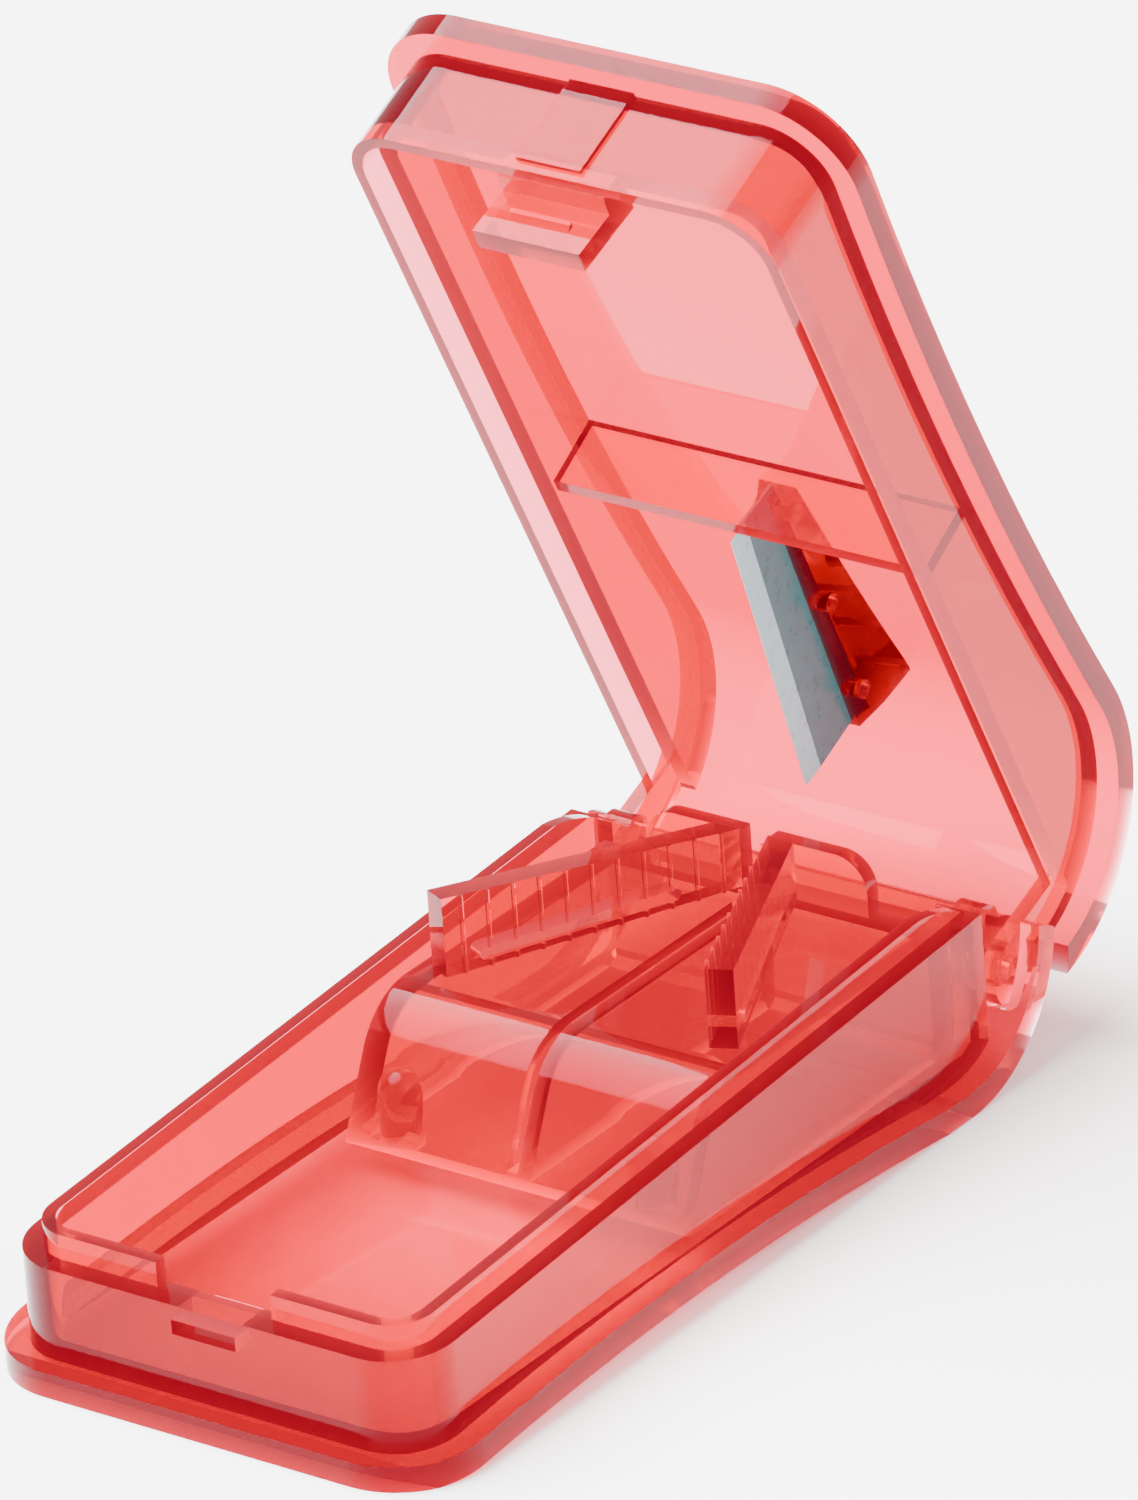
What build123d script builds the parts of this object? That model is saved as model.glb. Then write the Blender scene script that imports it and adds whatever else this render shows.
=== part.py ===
from build123d import *
from math import acos, asin, atan, cos, degrees, radians, sin
import os

# A see-through pill splitter: a wedge-shaped base, a hinged lid with a blade and a V-shaped pill bed.
# Millimetres, X to the right, Y from the front edge to the hinge, Z up from the table. The lid stands open.

os.makedirs("parts", exist_ok=True)

# ---- driving sizes ----
half_width = 21.0  # over the flange that runs round base and lid
corner_radius = 7.0  # front corners of the flange, seen from above
plate = 2.1  # thickness of the curved outer plates
flange = 1.94  # how far the plates stand out past the walls
wall = 2.66  # side and front walls
rim_wall = 1.05  # the base's raised rim, on the inside of the wall
lip_wall = 0.97  # the lid's lip, on the outside of the wall
rim_height = 2.0  # rim above the base's ledge
rabbet_depth = 2.3  # step inside the lid's lip that takes the rim
parting_gap = 0.1  # between lip and ledge with the lid shut
bite = 0.1  # how far joined shapes run into each other
back = 90.0  # a length past the back of everything
above = 30.0  # a height over the top of everything

wall_inset = flange
inner_inset = flange + wall
rim_inset = inner_inset - rim_wall
lip_inset = flange + lip_wall

# ---- base side view ----
front_land = 3.0  # flat foot under the front edge
rear_land = 66.6  # the rear foot's front edge
heel_y = 69.6  # centre of the round heel, and the rear foot's back edge
heel_radius = 12.0
arch = 1.7  # rise of the underside between the feet
floor_z = 2.8
ledge_front = 9.5  # height of the ledge at the front edge
ledge_slope = 0.065
rim_end = 69.0  # where the rim starts to curve down to the hinge
rim_heel_angle = -10.0  # where the rim meets the heel's plate, from level

# ---- hinge ----
hinge_y = 78.9
hinge_z = 7.8
open_angle = 68.2
base_end_radius = 4.0  # round end of the base's plate, about the hinge
base_end_step = 0.4  # the plate's end is rounded from here, behind the hinge
lid_end_radius = 4.3  # hollow end of the lid's plate, about the hinge
lid_wall_radius = 6.8  # the lid's walls stop this far from the hinge
outer_wall_end = hinge_y - base_end_radius
ear_front = 74.6
ear_inner = 15.0  # half distance between the two ears
ear_outer = half_width - rim_inset
hub_radius = 2.4
hub_inner = 14.3
lug_inner = ear_outer + 0.29
lug_outer = half_width - wall_inset
lug_radius = 2.8
lug_slot_radius = 3.1
lug_slot_outer = lug_outer + 0.24
hump_rear = (hinge_y + 0.4, hinge_z + 4.2)  # the rim's hump over the hinge, from its rear end
hump_crown = (hinge_y - 0.9, hinge_z + 5.6)
hump_front = (hinge_y - 2.3, hinge_z + 5.2)
rim_dip = (hinge_y - 5.5, hinge_z + 7.1)  # middle of the curve from the straight rim to the hump
pin_radius = 1.1
pin_clearance = 0.06

# ---- lid side view, in the lid's own frame: Y along the parting plane, Z towards the roof ----
lid_front_z = 11.1
lid_waist = (33.0, 10.2)  # lowest stretch of the roof
lid_heel = (67.95, -1.5)  # centre of the round heel
lid_heel_radius = 14.0
lid_heel_start = 96.5  # angle at which the roof runs into the heel
lid_heel_end = -14.0  # angle past the end of the lid's plate

# ---- planes ----
slope_angle = degrees(atan(ledge_slope))
side = Plane.YZ
lid_shut_plan = Plane.XY.offset(ledge_front).rotated((slope_angle, 0, 0))
lid_swing = Pos(0, hinge_y, hinge_z) * Rot(-open_angle, 0, 0) * Pos(0, -hinge_y, -hinge_z)


def opened(plane):
    """A plane of the shut lid, turned to where the lid stands open."""
    return Plane(lid_swing * plane.location)


lid_plan = opened(lid_shut_plan)
lid_side = Plane(origin=lid_plan.origin, x_dir=lid_plan.y_dir, z_dir=lid_plan.x_dir)
shut_side = opened(side)  # side view of lid pieces, in the shut lid's coordinates
hinge_in_lid = lid_shut_plan.to_local_coords(Vector(0, hinge_y, hinge_z))
hinge_y_in_lid = hinge_in_lid.Y
hinge_z_in_lid = hinge_in_lid.Z


def polar(centre, radius, angle):
    """A point on a circle, angle in degrees."""
    return (centre[0] + radius * cos(radians(angle)), centre[1] + radius * sin(radians(angle)))


def layer(plan_plane, side_face, inset):
    """A solid with the given side face and the common plan outline, moved in by inset."""
    with BuildPart() as solid:
        extrude(side_face, amount=half_width - inset, both=True)
        radius = corner_radius - inset
        with BuildSketch(plan_plane):
            with BuildLine():
                right = Line((half_width - inset, back), (half_width - inset, inset + radius))
                front_right = RadiusArc(right @ 1, (half_width - corner_radius, inset), radius)
                front = Line(front_right @ 1, (-(half_width - corner_radius), inset))
                front_left = RadiusArc(front @ 1, (-(half_width - inset), inset + radius), radius)
                left = Line(front_left @ 1, (-(half_width - inset), back))
                Line(left @ 1, right @ 0)
            make_face()
        extrude(amount=above, both=True, mode=Mode.INTERSECT)
    return solid.part


def base_underside(inset, last_angle):
    """The base's lower line from the front to a given angle of the heel, moved in by inset."""
    heel = (heel_y, heel_radius)
    radius = heel_radius - inset
    front_foot = Line((0, inset), (front_land, inset))
    middle = ((front_land + rear_land) / 2, arch + inset)
    bow = ThreePointArc(front_foot @ 1, middle, (rear_land, inset))
    rear_foot = Line(bow @ 1, (heel_y, inset))
    heel_middle = polar(heel, radius, (last_angle - 90) / 2)
    return front_foot, ThreePointArc(rear_foot @ 1, heel_middle, polar(heel, radius, last_angle))


def ledge_z(y):
    """Height of the base's ledge, which rises from the front edge to the hinge."""
    return ledge_front + ledge_slope * y


def base_plate_side():
    """Side view of the curved plate under and behind the base."""
    with BuildSketch(side) as view:
        with BuildLine():
            outer_start, outer_end = base_underside(0, 0)
            inner_start, inner_end = base_underside(plate, 0)
            Line(outer_start @ 0, inner_start @ 0)
            Line(outer_end @ 1, inner_end @ 1)
        make_face()
    return view.sketch


def base_wall_side():
    """Side view of the walls up to the ledge."""
    half_plate = plate / 2
    last_angle = -degrees(acos((outer_wall_end - heel_y) / (heel_radius - half_plate)))
    with BuildSketch(side) as view:
        with BuildLine():
            start, end = base_underside(half_plate, last_angle)
            Polyline(end @ 1, (outer_wall_end, ledge_z(outer_wall_end)), (0, ledge_z(0)), start @ 0)
        make_face()
    return view.sketch


def base_rim_side():
    """Side view of the inner rim, which curves down behind the bed and rises again over the hinge."""
    half_plate = plate / 2
    with BuildSketch(side) as view:
        with BuildLine():
            start, end = base_underside(half_plate, rim_heel_angle)
            hump = ThreePointArc(hump_rear, hump_crown, hump_front)
            Line(end @ 1, hump @ 0)
            dip = ThreePointArc(hump @ 1, rim_dip, (rim_end, ledge_z(rim_end) + rim_height))
            Polyline(dip @ 1, (0, ledge_z(0) + rim_height), start @ 0)
        make_face()
    return view.sketch


# ---- hollow of the base: a flat floor that runs into the heel ----
inner_heel = heel_radius - plate
heel_meets_floor = -degrees(asin((heel_radius - floor_z) / inner_heel))
with BuildSketch(side) as hollow_side:
    with BuildLine():
        heel_foot = polar((heel_y, heel_radius), inner_heel, heel_meets_floor)
        floor_line = Line((0, floor_z), heel_foot)
        heel_line = ThreePointArc(
            floor_line @ 1,
            polar((heel_y, heel_radius), inner_heel, heel_meets_floor / 2),
            (heel_y + inner_heel, heel_radius),
        )
        Polyline(heel_line @ 1, (heel_y + inner_heel, above), (0, above), floor_line @ 0)
    make_face()

with BuildPart() as base_hollow:
    add(layer(Plane.XY, hollow_side.sketch, inner_inset))
    with BuildSketch(Plane.XY):
        with GridLocations(half_width + ear_inner, 0, 2, 1):
            with Locations((0, ear_front)):
                Rectangle(half_width - ear_inner, back, align=(Align.CENTER, Align.MIN))
    extrude(amount=above, mode=Mode.SUBTRACT)

# ---- base shell ----
notch_half = 5.2  # gap in the front rim for the latch
window_half = 2.9  # slot in the front wall that takes the latch's barb
window_low = 7.2
window_high = 8.4
front_wall_cut = inner_inset + 1.0  # a depth just past the inside of the front wall

with BuildPart() as base_shell:
    add(layer(Plane.XY, base_wall_side(), wall_inset))
    add(layer(Plane.XY, base_rim_side(), rim_inset))
    add(layer(Plane.XY, base_plate_side(), 0))
    add(base_hollow.part, mode=Mode.SUBTRACT)
    # hub bosses on the ears
    for start in (-(ear_inner + bite), hub_inner):
        with BuildSketch(side.offset(start)):
            with Locations((hinge_y, hinge_z)):
                Circle(hub_radius)
        extrude(amount=ear_inner + bite - hub_inner)
    # round end of the back plate
    with BuildSketch(side):
        with Locations((hinge_y + base_end_step, hinge_z)):
            Rectangle(above, above, align=(Align.MIN, Align.MIN))
        with Locations((hinge_y, hinge_z)):
            Circle(base_end_radius, mode=Mode.SUBTRACT)
    extrude(amount=half_width, both=True, mode=Mode.SUBTRACT)
    # open slots in the back plate for the lid's lugs
    for start in (ear_outer, -lug_slot_outer):
        with BuildSketch(side.offset(start)):
            with Locations((hinge_y, hinge_z)):
                Circle(lug_slot_radius)
            with Locations((hinge_y - lug_slot_radius, hinge_z)):
                Rectangle(above, above, align=(Align.MIN, Align.MIN))
        extrude(amount=lug_slot_outer - ear_outer, mode=Mode.SUBTRACT)
    # pin holes through the ears
    with BuildSketch(side):
        with Locations((hinge_y, hinge_z)):
            Circle(pin_radius)
    extrude(amount=lug_slot_outer, both=True, mode=Mode.SUBTRACT)
    # notch in the front rim
    with BuildSketch(Plane.XZ):
        with Locations((0, ledge_z(rim_inset))):
            Rectangle(2 * notch_half, above, align=(Align.CENTER, Align.MIN))
    extrude(amount=-front_wall_cut, mode=Mode.SUBTRACT)
    # window for the latch's barb
    with BuildSketch(Plane.XZ):
        with Locations((0, (window_low + window_high) / 2)):
            Rectangle(2 * window_half, window_high - window_low)
    extrude(amount=-front_wall_cut, mode=Mode.SUBTRACT)

# ---- hinge pins ----
with BuildPart() as hinge_pins:
    for start in (hub_inner, -lug_outer):
        with BuildSketch(side.offset(start)):
            with Locations((hinge_y, hinge_z)):
                Circle(pin_radius)
        extrude(amount=lug_outer - hub_inner)

# ---- pill bed ----
bed_half = 15.3
bed_top = 13.0
bed_skin = 1.5
bed_foot_y = 39.2
bed_brow_y = 42.3  # where the sloping face turns into the round brow
bed_brow_z = 9.3
bed_top_y = 48.0
guard_front = 72.5
guard_back = 73.9
guard_bottom = 3.4
guard_top = 17.7
guard_half = 10.3
guard_corner = 2.8
web_half = 1.15  # keel under the blade's groove
groove_half = 0.5
groove_depth = 2.0
groove_end = 69.9
groove_low = floor_z + 1.0  # the groove's lower end on the sloping front
guard_gap_half = 1.3  # lets the blade through the guard as the lid swings
guard_gap_front = 69.0
boss_x = 11.2
boss_radius = 1.8
boss_y = 41.3
boss_top = 7.2
bed_foot_chamfer = 1.0  # how far the rear foot slopes in from the guard

# V guides, given for the right-hand one
guide_front = (12.1, 49.0)
guide_rear = (1.5, 72.0)
guide_thickness = 2.2
guide_front_top = 19.6
guide_rear_top = 17.9
guide_tick_count = 11
guide_tick_pitch = 2.25
guide_tick_first = 1.6
guide_tick_width = 0.3
guide_tick_depth = 0.22
guide_window_start = 3.0
guide_window_end = 20.5
guide_window_low = 0.5
guide_window_height = 1.0
guide_top_margin = 5.0  # how far the cut over the guides runs past them
guide_run = Vector(guide_rear[0] - guide_front[0], guide_rear[1] - guide_front[1], 0)
guide_along = guide_run.normalized()
guide_out = Vector(guide_along.Y, -guide_along.X, 0)
guide_face = Plane(origin=(*guide_front, bed_top), x_dir=guide_along, z_dir=guide_out)


def bed_side(inset):
    """Side view of the bed's box, moved in by inset."""
    with BuildSketch(side) as view:
        with BuildLine():
            top = bed_top - inset
            face = Line((bed_foot_y + inset, floor_z), (bed_brow_y + inset, bed_brow_z))
            brow = TangentArc(face @ 1, (bed_top_y + inset / 2, top), tangent=face % 1)
            Polyline(
                brow @ 1,
                (guard_back - inset, top),
                (guard_back - inset, guard_bottom),
                (guard_front - bed_foot_chamfer, floor_z),
                face @ 0,
            )
        make_face()
    return view.sketch


with BuildPart() as bed_pockets:
    extrude(bed_side(bed_skin), amount=bed_half - bed_skin, both=True)
    with BuildSketch(Plane.XY):
        with Locations((0, bed_top_y)):
            Rectangle(2 * web_half, 2 * bed_top_y)
    extrude(amount=above, mode=Mode.SUBTRACT)

# groove that takes the blade's edge, over the top and down the sloping front
with BuildPart() as blade_groove:
    extrude(bed_side(0), amount=groove_half, both=True)
    extrude(bed_side(groove_depth), amount=groove_half, both=True, mode=Mode.SUBTRACT)
    with BuildSketch(side):
        with Locations((groove_end, 0)):
            Rectangle(back, back, align=(Align.MIN, Align.MIN))
        with Locations((0, groove_low)):
            Rectangle(back, back, align=(Align.MIN, Align.MAX))
    extrude(amount=half_width, both=True, mode=Mode.SUBTRACT)

with BuildPart() as bed_guides:
    rear_share = (guard_front + bite - guide_front[1]) / guide_run.Y
    inner_rear = (guide_front[0] + guide_run.X * rear_share, guard_front + bite)
    step = guide_thickness / guide_out.X
    with BuildSketch(Plane.XY.offset(bed_top - bite)):
        with BuildLine():
            out = (guide_out.X * guide_thickness, guide_out.Y * guide_thickness)
            Polyline(
                guide_front,
                inner_rear,
                (inner_rear[0] + step, inner_rear[1]),
                (guide_front[0] + out[0], guide_front[1] + out[1]),
                close=True,
            )
        make_face()
    extrude(amount=guide_front_top - bed_top + 1)
    # fine upright ticks on the face towards the pill
    with BuildSketch(guide_face):
        for tick in range(guide_tick_count):
            with Locations((guide_tick_first + tick * guide_tick_pitch, -bite)):
                Rectangle(guide_tick_width, guide_front_top - bed_top, align=(Align.CENTER, Align.MIN))
    extrude(amount=-guide_tick_depth)
    # long low window
    with BuildSketch(guide_face):
        window_middle = (guide_window_start + guide_window_end) / 2
        with Locations((window_middle, guide_window_low + guide_window_height / 2)):
            SlotOverall(guide_window_end - guide_window_start, guide_window_height)
    extrude(amount=2 * guide_thickness, both=True, mode=Mode.SUBTRACT)
    # tops that fall towards the hinge
    with BuildSketch(side):
        with BuildLine():
            fall = (guide_front_top - guide_rear_top) / guide_run.Y
            front_y = guide_front[1] - guide_top_margin
            rear_y = guide_rear[1] + guide_top_margin
            Polyline(
                (front_y, guide_front_top + guide_top_margin * fall),
                (rear_y, guide_rear_top - guide_top_margin * fall),
                (rear_y, above),
                (front_y, above),
                close=True,
            )
        make_face()
    extrude(amount=half_width, both=True, mode=Mode.SUBTRACT)
    mirror(about=Plane.YZ)

with BuildPart() as pill_bed:
    extrude(bed_side(0), amount=bed_half, both=True)
    add(bed_pockets.part, mode=Mode.SUBTRACT)
    # elongated bosses on the sloping front
    with Locations((boss_x, boss_y, floor_z), (-boss_x, boss_y, floor_z)):
        Cylinder(boss_radius, boss_top - floor_z, align=(Align.CENTER, Align.CENTER, Align.MIN))
    with Locations((boss_x, boss_y, boss_top), (-boss_x, boss_y, boss_top)):
        Sphere(boss_radius)
    # guard behind the V
    with BuildSketch(Plane.XZ.offset(-guard_back)):
        with Locations((0, bed_top - guard_corner)):
            Rectangle(2 * guard_half, guard_top - bed_top, align=(Align.CENTER, Align.MIN))
        with Locations((0, bed_top - guard_corner)):
            RectangleRounded(
                2 * guard_half,
                guard_top - bed_top + guard_corner,
                guard_corner,
                align=(Align.CENTER, Align.MIN),
            )
    extrude(amount=guard_back - guard_front)
    add(bed_guides.part)
    # gap for the blade between the guides and through the guard
    with BuildSketch(Plane.XY.offset(bed_top)):
        with Locations((0, guard_gap_front)):
            Rectangle(2 * guard_gap_half, back, align=(Align.CENTER, Align.MIN))
    extrude(amount=above, mode=Mode.SUBTRACT)
    add(blade_groove.part, mode=Mode.SUBTRACT)


# ---- lid ----
def lid_line(inset):
    """The lid's outer line from the front edge over the roof and round the heel, moved in by inset."""
    radius = lid_heel_radius - inset
    roof = ThreePointArc(
        (0, lid_front_z - inset),
        (lid_waist[0], lid_waist[1] - inset),
        polar(lid_heel, radius, lid_heel_start),
    )
    middle = polar(lid_heel, radius, (lid_heel_start + lid_heel_end) / 2)
    return roof, ThreePointArc(roof @ 1, middle, polar(lid_heel, radius, lid_heel_end))


def lid_plate_side():
    """Side view of the lid's curved plate."""
    with BuildSketch(lid_side) as view:
        with BuildLine():
            outer_roof, outer_heel = lid_line(0)
            inner_roof, inner_heel_line = lid_line(plate)
            Line(outer_roof @ 0, inner_roof @ 0)
            Line(outer_heel @ 1, inner_heel_line @ 1)
        make_face()
        with Locations((hinge_y_in_lid, hinge_z_in_lid)):
            Circle(lid_end_radius, mode=Mode.SUBTRACT)
    return view.sketch


def lid_inside_side(inset, bottom):
    """Side view of the space under the lid's roof line, moved in by inset, down to a given height."""
    with BuildSketch(lid_side) as view:
        with BuildLine():
            roof, heel = lid_line(inset)
            heel_foot = (hinge_y_in_lid, (heel @ 1).Y)
            Polyline(heel @ 1, heel_foot, (hinge_y_in_lid, bottom), (0, bottom), roof @ 0)
        make_face()
    return view.sketch


partition_y = 43.2
partition_lean = 0.7
partition_low = 2.6
partition_thickness = 1.1
latch_half = 4.8
latch_front = 4.9
latch_thickness = 1.7
latch_low = 5.6
latch_root_z = 12.5
latch_root_y = 3.3
latch_shoulder_z = 9.9
barb_half = 2.7
barb_reach = 0.5
barb_low = 7.4
barb_high = 8.1
panel_half = 2.9
panel_height = 0.35
panel_low = 0.8
lug_web_top = rabbet_depth + 0.5  # the lug's web reaches this far over the ledge line
lug_web_rear = 1.5  # the web's rear edge, behind the hinge, at its top
lug_web_rear_low = 1.1  # and beside the end of the lid's plate
lug_web_rear_z = lid_end_radius - 0.2
lug_web_angle = 20.0  # where the web's rear edge meets the lug

with BuildPart() as lid_walls:
    add(layer(lid_plan, lid_inside_side(plate / 2, parting_gap), wall_inset))
    add(layer(lid_plan, lid_inside_side(plate, -above), inner_inset), mode=Mode.SUBTRACT)
    with BuildSketch(lid_side):
        with Locations((hinge_y_in_lid, hinge_z_in_lid)):
            Circle(lid_wall_radius)
    extrude(amount=half_width, both=True, mode=Mode.SUBTRACT)

with BuildPart() as lid_rabbet:
    with BuildSketch(lid_side):
        with Locations((0, rabbet_depth)):
            Rectangle(back, above, align=(Align.MIN, Align.MAX))
    extrude(amount=half_width, both=True)
    add(layer(lid_plan, lid_inside_side(0, -above), lip_inset), mode=Mode.INTERSECT)

with BuildPart() as lid_shell:
    add(lid_walls.part)
    add(lid_rabbet.part, mode=Mode.SUBTRACT)
    add(layer(lid_plan, lid_plate_side(), 0))
    # partition between the pill store and the blade
    with BuildSketch(lid_side):
        with BuildLine():
            Polyline(
                (partition_y, partition_low),
                (partition_y + partition_thickness, partition_low),
                (partition_y + partition_thickness - partition_lean, lid_waist[1] - plate / 2),
                (partition_y - partition_lean, lid_waist[1] - plate / 2),
                close=True,
            )
        make_face()
    extrude(amount=half_width - inner_inset + bite, both=True)
    # lugs that carry the lid on the pins
    for start in (lug_inner, -lug_outer):
        with BuildSketch(shut_side.offset(start)):
            with Locations((hinge_y, hinge_z)):
                Circle(lug_radius)
            with BuildLine():
                Polyline(
                    (hinge_y - lug_radius, hinge_z),
                    (hinge_y - lug_radius, ledge_z(hinge_y) + lug_web_top),
                    (hinge_y + lug_web_rear, ledge_z(hinge_y) + lug_web_top),
                    (hinge_y + lug_web_rear_low, hinge_z + lug_web_rear_z),
                    polar((hinge_y, hinge_z), lug_radius, lug_web_angle),
                    close=True,
                )
            make_face()
        extrude(amount=lug_outer - lug_inner)
    with BuildSketch(shut_side):
        with Locations((hinge_y, hinge_z)):
            Circle(pin_radius + pin_clearance)
    extrude(amount=half_width, both=True, mode=Mode.SUBTRACT)
    # latch tongue behind the base's front wall, with a barb for its window
    with BuildSketch(shut_side):
        with BuildLine():
            Polyline(
                (latch_front, latch_low),
                (latch_front + latch_thickness, latch_low),
                (latch_front + latch_thickness, latch_root_z),
                (latch_root_y, latch_root_z),
                (latch_root_y, latch_shoulder_z),
                (latch_front, latch_shoulder_z),
                close=True,
            )
        make_face()
    extrude(amount=latch_half, both=True)
    with BuildSketch(shut_side):
        with BuildLine():
            Polyline(
                (latch_front, barb_low),
                (latch_front - barb_reach, barb_high),
                (latch_front, barb_high),
                close=True,
            )
        make_face()
    extrude(amount=barb_half, both=True)
    # flat panel over the latch on the front wall
    with BuildSketch(lid_side):
        with BuildLine():
            Polyline(
                (flange - panel_height, parting_gap + panel_low),
                (flange + bite, parting_gap + panel_low),
                (flange + bite, lid_front_z - plate / 2),
                (flange - panel_height, lid_front_z - plate / 2),
                close=True,
            )
        make_face()
    extrude(amount=panel_half, both=True)

# ---- blade ----
blade_thickness = 0.3
blade_front = 44.3
blade_front_edge_z = 14.2
blade_tip = (69.0, 12.5)
blade_heel = (68.5, 21.3)
blade_front_top_z = 20.3
bevel_height = 2.0
bevel_side = 0.13
bevel_margin = 2.0  # how far the bevel's cut runs past the blade's front
peg_radius = 0.8
peg_z = 20.2
peg_first_y = 46.8
peg_pitch = 9.4
peg_count = 3
peg_half = 1.75
peg_places = [(peg_first_y + number * peg_pitch, peg_z) for number in range(peg_count)]


def blade_outline():
    """Side view of the blade, its upper part inside the clamp."""
    with BuildSketch(shut_side) as view:
        with BuildLine():
            Polyline(
                (blade_front, blade_front_edge_z),
                blade_tip,
                blade_heel,
                (blade_front, blade_front_top_z),
                close=True,
            )
        make_face()
    return view.sketch


with BuildPart() as blade:
    extrude(blade_outline(), amount=blade_thickness / 2, both=True)
    with BuildSketch(shut_side):
        with Locations(*peg_places):
            Circle(peg_radius)
    extrude(amount=blade_thickness, both=True, mode=Mode.SUBTRACT)
    # ground bevel on both faces of the edge
    cutting_edge = Vector(blade_tip[0] - blade_front, blade_tip[1] - blade_front_edge_z).normalized()
    edge_plane = Plane(
        origin=shut_side.from_local_coords((blade_front, blade_front_edge_z, 0)),
        x_dir=-shut_side.z_dir,
        z_dir=shut_side.x_dir * cutting_edge.X + shut_side.y_dir * cutting_edge.Y,
    )
    with BuildSketch(edge_plane.offset(-bevel_margin)):
        with BuildLine():
            Polyline(
                (blade_thickness / 2, -bite),
                (blade_thickness / 2, bevel_height),
                (blade_thickness / 2 - bevel_side, -bite),
                close=True,
            )
        make_face()
        mirror(about=Plane.YZ)
    extrude(amount=above, mode=Mode.SUBTRACT)

# ---- blade clamp under the lid's roof ----
clamp_front = 44.9
clamp_bottom = 19.25
clamp_low_half = 0.8
clamp_mid_half = 2.0
clamp_mid_z = 21.5
clamp_top_half = 3.3
clamp_top_z = 25.0
clamp_rear_bottom = 69.0
clamp_rear_top = 66.8

with BuildPart() as clamp_section:
    with BuildSketch(Plane(origin=shut_side.origin, x_dir=shut_side.z_dir, z_dir=-shut_side.x_dir)):
        with BuildLine():
            Polyline(
                (clamp_low_half, clamp_bottom),
                (clamp_mid_half, clamp_mid_z),
                (clamp_top_half, clamp_top_z),
                (-clamp_top_half, clamp_top_z),
                (-clamp_mid_half, clamp_mid_z),
                (-clamp_low_half, clamp_bottom),
                close=True,
            )
        make_face()
    extrude(amount=-back)

with BuildPart() as blade_clamp:
    with BuildSketch(shut_side):
        with BuildLine():
            Polyline(
                (clamp_front, clamp_bottom),
                (clamp_rear_bottom, clamp_bottom),
                (clamp_rear_top, clamp_top_z),
                (clamp_front, clamp_top_z),
                close=True,
            )
        make_face()
    extrude(amount=clamp_top_half, both=True)
    add(clamp_section.part, mode=Mode.INTERSECT)
    extrude(lid_inside_side(plate, 0), amount=half_width, both=True, mode=Mode.INTERSECT)
    extrude(blade_outline(), amount=blade_thickness / 2, both=True, mode=Mode.SUBTRACT)
    with BuildSketch(shut_side):
        with Locations(*peg_places):
            Circle(peg_radius)
    extrude(amount=clamp_top_half, both=True, mode=Mode.SUBTRACT)

with BuildPart() as blade_pegs:
    with BuildSketch(shut_side):
        with Locations(*peg_places):
            Circle(peg_radius)
    extrude(amount=peg_half, both=True)

for name, piece in (
    ("base_shell", base_shell),
    ("pill_bed", pill_bed),
    ("hinge_pins", hinge_pins),
    ("lid_shell", lid_shell),
    ("blade", blade),
    ("blade_clamp", blade_clamp),
    ("blade_pegs", blade_pegs),
):
    piece.part.label = name
    export_step(piece.part, f"parts/{name}.step")
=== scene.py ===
import math

import bpy
from mathutils import Matrix, Vector


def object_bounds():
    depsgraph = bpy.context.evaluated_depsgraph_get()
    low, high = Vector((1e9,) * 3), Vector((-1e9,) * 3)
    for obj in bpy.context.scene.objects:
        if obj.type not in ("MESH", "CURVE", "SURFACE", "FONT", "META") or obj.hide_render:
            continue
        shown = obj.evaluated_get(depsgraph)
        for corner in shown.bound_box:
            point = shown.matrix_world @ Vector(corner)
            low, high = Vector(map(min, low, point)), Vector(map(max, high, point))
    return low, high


# Looks for a see-through pill splitter: tinted clear plastic, a ground steel blade and a pale studio.
# Metres, in the frame of the CAD pieces.

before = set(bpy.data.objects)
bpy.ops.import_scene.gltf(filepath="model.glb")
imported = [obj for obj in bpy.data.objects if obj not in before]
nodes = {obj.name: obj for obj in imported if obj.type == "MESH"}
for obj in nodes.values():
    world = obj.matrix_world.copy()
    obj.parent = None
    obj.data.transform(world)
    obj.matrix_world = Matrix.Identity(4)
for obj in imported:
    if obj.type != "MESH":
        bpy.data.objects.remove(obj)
cad_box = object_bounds()

# ---- plastic ----
SHELL_TINT = (0.98, 0.78, 0.80, 1.0)  # at the surface, in light and dark clouds
SHELL_TINT_DEEP = (0.97, 0.74, 0.76, 1.0)
CLAMP_TINT = (0.66, 0.14, 0.18, 1.0)
CLAMP_TINT_DEEP = (0.58, 0.10, 0.14, 1.0)
DEPTH_COLOUR = (0.81, 0.05, 0.17, 1.0)  # what the plastic lets through
DEPTH_DENSITY = 1400.0  # absorption per metre
PLASTIC_IOR = 1.28  # lower than real plastic, whose reflections would turn the walls grey
SHINE = 0.1
SHINE_TINT = (1.0, 0.1, 0.16, 1.0)
GLOW = 0.36  # stand-in for light scattered inside the plastic
CLAMP_GLOW = 0.08
GLOW_COLOUR = (1.0, 0.01, 0.05, 1.0)
CLOUD_SCALE = 90.0
GLOSS_SCALE = 260.0
GLOSS_ROUGHNESS = (0.015, 0.05)

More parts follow.
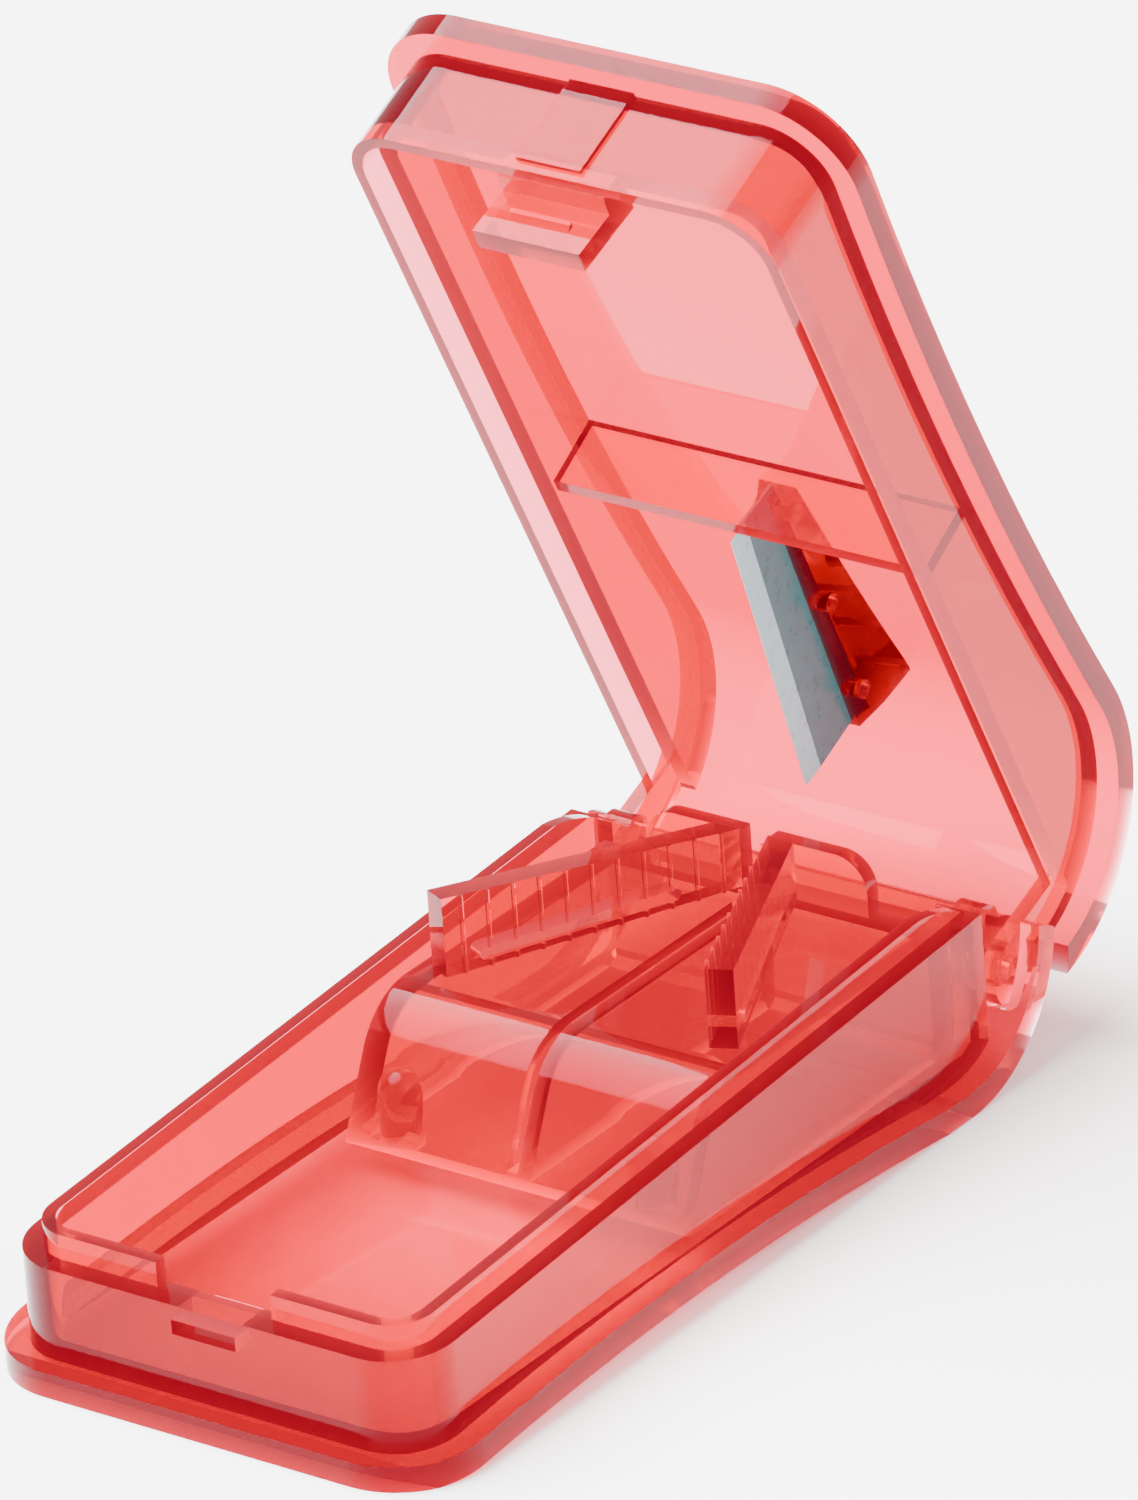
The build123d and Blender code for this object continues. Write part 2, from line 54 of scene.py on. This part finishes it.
# ---- steel ----
STEEL_DARK = (0.03, 0.12, 0.13, 1.0)
STEEL_LIGHT = (0.05, 0.17, 0.18, 1.0)
BEVEL_DARK = (0.17, 0.38, 0.40, 1.0)
BEVEL_LIGHT = (0.26, 0.49, 0.51, 1.0)
BEVEL_TILT = math.radians(1.5)  # faces turned further than this from X are the ground bevel
STEEL_METAL = 0.25
STEEL_LIFT = 0.8  # stand-in for light that the blade gathers inside the lid
STEEL_SHINE = 0.2
BRUSH_SCALE = 900.0
BRUSH_DETAIL = 6.0
BRUSH_ROUGHNESS = (0.22, 0.36)

# ---- moulded edges ----
EDGE_ROUND = 0.00028
EDGE_SEGMENTS = 3
EDGE_ANGLE = math.radians(35)  # edges sharper than this are rounded

# ---- studio ----
WORLD_POWER = 1.0
SKY_POWER = 23.0
SKY_ANGLE = 60.0
SKY_DIRECTION = (-0.5, -0.2, 1.0)
FILL_POWER = 1.2
FILL_DIRECTION = (1.0, -0.2, 0.6)
FILL_DISTANCE = 4.0  # in lengths of the object, as are the next two
FILL_WIDTH = 2.0
FLOOR_WIDTH = 60.0
FLOOR_COLOUR = (0.93, 0.93, 0.93, 1.0)
FLOOR_ROUGHNESS = 0.9

# ---- camera ----
AZIMUTH = 37.49
ELEVATION = 25.58
ROLL = -4.07
AIM = Vector((0.0036, 0.0456, 0.0371))
DISTANCE = 0.999
LENS = 325.6


def new_material(name):
    """A material, its node tree and its main shader."""
    material = bpy.data.materials.new(name)
    material.use_nodes = True
    return material, material.node_tree, material.node_tree.nodes["Principled BSDF"]


def noise(tree, scale, detail=3.0):
    """Noise in the object's own coordinates."""
    coords = tree.nodes.new("ShaderNodeTexCoord")
    texture = tree.nodes.new("ShaderNodeTexNoise")
    texture.inputs["Scale"].default_value = scale
    texture.inputs["Detail"].default_value = detail
    tree.links.new(coords.outputs["Object"], texture.inputs["Vector"])
    return texture.outputs["Fac"]


def ramp(tree, factor, low, high):
    """A value between low and high, chosen by a factor."""
    node = tree.nodes.new("ShaderNodeMapRange")
    node.inputs["To Min"].default_value = low
    node.inputs["To Max"].default_value = high
    tree.links.new(factor, node.inputs["Value"])
    return node.outputs["Result"]


def colour_mix(tree, factor, low, high):
    """Blends two colours, each a constant or another node's output."""
    node = tree.nodes.new("ShaderNodeMix")
    node.data_type = "RGBA"
    tree.links.new(factor, node.inputs["Factor"])
    for socket, colour in ((node.inputs["A"], low), (node.inputs["B"], high)):
        if isinstance(colour, tuple):
            socket.default_value = colour
        else:
            tree.links.new(colour, socket)
    return node.outputs["Result"]


def clear_plastic(name, tint, tint_deep, glow):
    """Polished tinted plastic that darkens with depth."""
    material, tree, shader = new_material(name)
    cloud = noise(tree, CLOUD_SCALE)
    tree.links.new(colour_mix(tree, cloud, tint, tint_deep), shader.inputs["Base Color"])
    gloss = ramp(tree, noise(tree, GLOSS_SCALE), *GLOSS_ROUGHNESS)
    tree.links.new(gloss, shader.inputs["Roughness"])
    shader.inputs["Transmission Weight"].default_value = 1.0
    shader.inputs["IOR"].default_value = PLASTIC_IOR
    shader.inputs["Specular IOR Level"].default_value = SHINE
    shader.inputs["Specular Tint"].default_value = SHINE_TINT
    shader.inputs["Emission Color"].default_value = GLOW_COLOUR
    shader.inputs["Emission Strength"].default_value = glow
    depth = tree.nodes.new("ShaderNodeVolumeAbsorption")
    depth.inputs["Color"].default_value = DEPTH_COLOUR
    depth.inputs["Density"].default_value = DEPTH_DENSITY
    output = tree.nodes["Material Output"]
    tree.links.new(depth.outputs["Volume"], output.inputs["Volume"])
    return material


def is_bevel(tree):
    """1 on the blade's ground bevel, whose faces turn away from X, and 0 on its body."""
    geometry = tree.nodes.new("ShaderNodeNewGeometry")
    split = tree.nodes.new("ShaderNodeSeparateXYZ")
    tree.links.new(geometry.outputs["True Normal"], split.inputs["Vector"])
    facing = tree.nodes.new("ShaderNodeMath")
    facing.operation = "ABSOLUTE"
    tree.links.new(split.outputs["X"], facing.inputs[0])
    tilted = tree.nodes.new("ShaderNodeMath")
    tilted.operation = "LESS_THAN"
    tilted.inputs[1].default_value = math.cos(BEVEL_TILT)
    tree.links.new(facing.outputs["Value"], tilted.inputs[0])
    return tilted.outputs["Value"]


def ground_steel(name):
    """Brushed blade steel, paler on the ground bevel."""
    material, tree, shader = new_material(name)
    brushed = noise(tree, BRUSH_SCALE, BRUSH_DETAIL)
    body = colour_mix(tree, brushed, STEEL_DARK, STEEL_LIGHT)
    bevel = colour_mix(tree, brushed, BEVEL_DARK, BEVEL_LIGHT)
    colour = colour_mix(tree, is_bevel(tree), body, bevel)
    tree.links.new(colour, shader.inputs["Base Color"])
    tree.links.new(colour, shader.inputs["Emission Color"])
    tree.links.new(ramp(tree, brushed, *BRUSH_ROUGHNESS), shader.inputs["Roughness"])
    shader.inputs["Emission Strength"].default_value = STEEL_LIFT
    shader.inputs["Metallic"].default_value = STEEL_METAL
    shader.inputs["Specular IOR Level"].default_value = STEEL_SHINE
    return material


def paint(node, material):
    """Puts one material in every slot of a piece."""
    for material_slot in node.material_slots:
        material_slot.material = material


def round_edges(node):
    """Small moulded radii on the sharp edges."""
    bevel = node.modifiers.new("moulded_edges", "BEVEL")
    bevel.width = EDGE_ROUND
    bevel.segments = EDGE_SEGMENTS
    bevel.limit_method = "ANGLE"
    bevel.angle_limit = EDGE_ANGLE
    bevel.harden_normals = True


def add_lamp(name, light, direction):
    """A lamp that shines from the given direction."""
    lamp = bpy.data.objects.new(name, light)
    lamp.rotation_euler = Vector(direction).normalized().to_track_quat("Z", "Y").to_euler()
    bpy.context.collection.objects.link(lamp)
    return lamp


def sky_panel():
    """A wide soft light from above."""
    light = bpy.data.lights.new("sky_panel", "SUN")
    light.energy = SKY_POWER
    light.angle = math.radians(SKY_ANGLE)
    add_lamp("sky_panel", light, SKY_DIRECTION)


def softbox(name, direction, distance, width, power):
    """A square area light that points at the object's centre."""
    light = bpy.data.lights.new(name, "AREA")
    light.size = width
    light.energy = power
    lamp = add_lamp(name, light, direction)
    lamp.location = centre + Vector(direction).normalized() * distance


def white_world():
    """Even white light from all round."""
    world = bpy.data.worlds.new("studio")
    world.use_nodes = True
    background = world.node_tree.nodes["Background"]
    background.inputs["Color"].default_value = (1.0, 1.0, 1.0, 1.0)
    background.inputs["Strength"].default_value = WORLD_POWER
    bpy.context.scene.world = world


def pale_floor():
    """A wide pale floor under the object."""
    bpy.ops.mesh.primitive_plane_add(size=FLOOR_WIDTH * size, location=(centre.x, centre.y, low.z))
    floor = bpy.context.object
    floor.name = "floor"
    material, _, shader = new_material("pale_floor")
    shader.inputs["Base Color"].default_value = FLOOR_COLOUR
    shader.inputs["Roughness"].default_value = FLOOR_ROUGHNESS
    floor.data.materials.append(material)


def camera_at(azimuth, elevation, roll, aim, distance, lens):
    """A camera that looks at a point from a direction given in degrees."""
    data = bpy.data.cameras.new("camera")
    data.lens = lens
    camera = bpy.data.objects.new("camera", data)
    bpy.context.collection.objects.link(camera)
    turn = math.radians(azimuth)
    lift = math.radians(elevation)
    back = Vector((math.sin(turn) * math.cos(lift), -math.cos(turn) * math.cos(lift), math.sin(lift)))
    camera.location = aim + back * distance
    level = back.to_track_quat("Z", "Y").to_matrix().to_4x4()
    rolled = Matrix.Rotation(math.radians(roll), 4, "Z")
    camera.matrix_world = Matrix.Translation(camera.location) @ level @ rolled
    bpy.context.scene.camera = camera


# ---- finishes ----
shell = clear_plastic("shell_plastic", SHELL_TINT, SHELL_TINT_DEEP, GLOW)
bed = clear_plastic("bed_plastic", SHELL_TINT, SHELL_TINT_DEEP, GLOW)
clamp = clear_plastic("clamp_plastic", CLAMP_TINT, CLAMP_TINT_DEEP, CLAMP_GLOW)
steel = ground_steel("blade_steel")
finish_of = {
    "base_shell": shell,
    "lid_shell": shell,
    "hinge_pins": shell,
    "pill_bed": bed,
    "blade_clamp": clamp,
    "blade_pegs": clamp,
    "blade": steel,
}
for name, material in finish_of.items():
    paint(nodes[name], material)
for name in ("base_shell", "lid_shell", "pill_bed"):
    round_edges(nodes[name])

# ---- stage ----
low, high = (Vector(corner) for corner in cad_box)
centre = (low + high) / 2
size = max(high - low)
white_world()
pale_floor()
sky_panel()
softbox("fill", FILL_DIRECTION, FILL_DISTANCE * size, FILL_WIDTH * size, FILL_POWER)
camera_at(AZIMUTH, ELEVATION, ROLL, AIM, DISTANCE, LENS)
